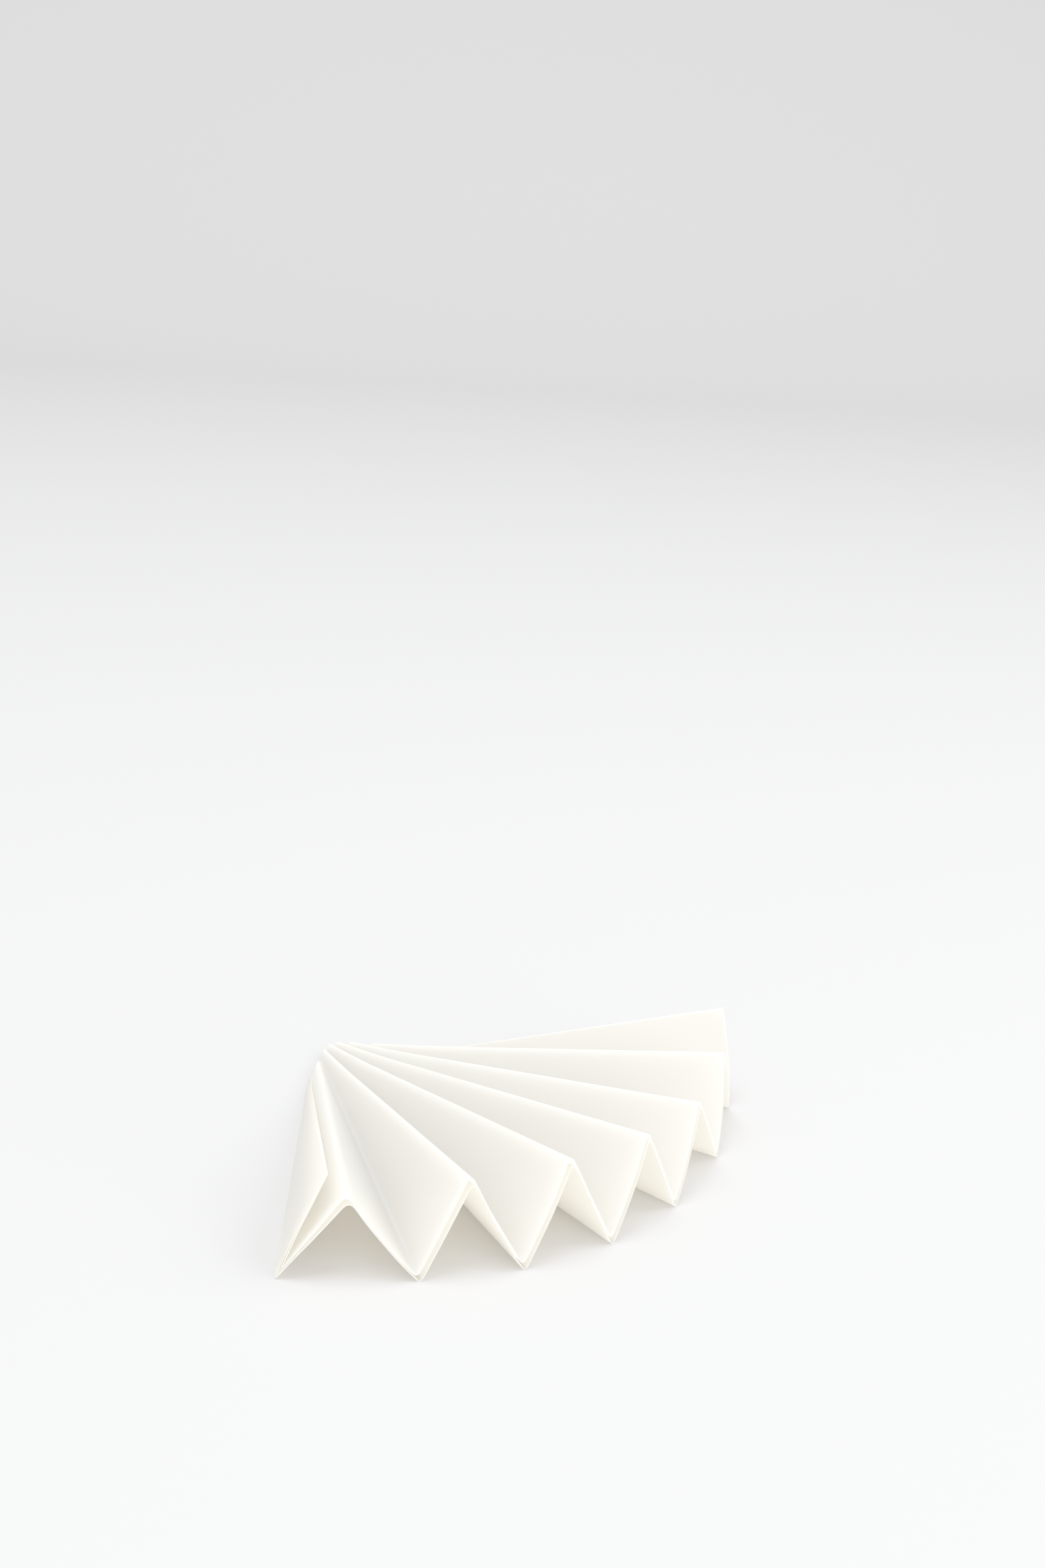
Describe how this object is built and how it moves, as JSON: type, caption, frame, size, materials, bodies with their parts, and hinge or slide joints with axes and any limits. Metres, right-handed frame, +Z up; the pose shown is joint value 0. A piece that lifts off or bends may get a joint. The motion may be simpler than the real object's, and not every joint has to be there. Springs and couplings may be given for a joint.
{
  "type": "folded filter paper",
  "caption": "Round white filter paper folded in half and accordion pleated into a fan, sprung open and resting on its creases",
  "frame": {"origin": "middle of the paper's outline seen from above, on the surface that it rests on", "axes": "+Z up, the mouths of the pleats at the round rim face -Y, the folded tip points to +Y, X runs across the fan"},
  "size_m": [0.1494, 0.1202, 0.0257],
  "materials": {
    "paper": "soft matt white filter paper with a fine fibrous grain, slightly see-through"
  },
  "bodies": {
    "root": {"filter_paper": "paper"}
  },
  "joints": []
}
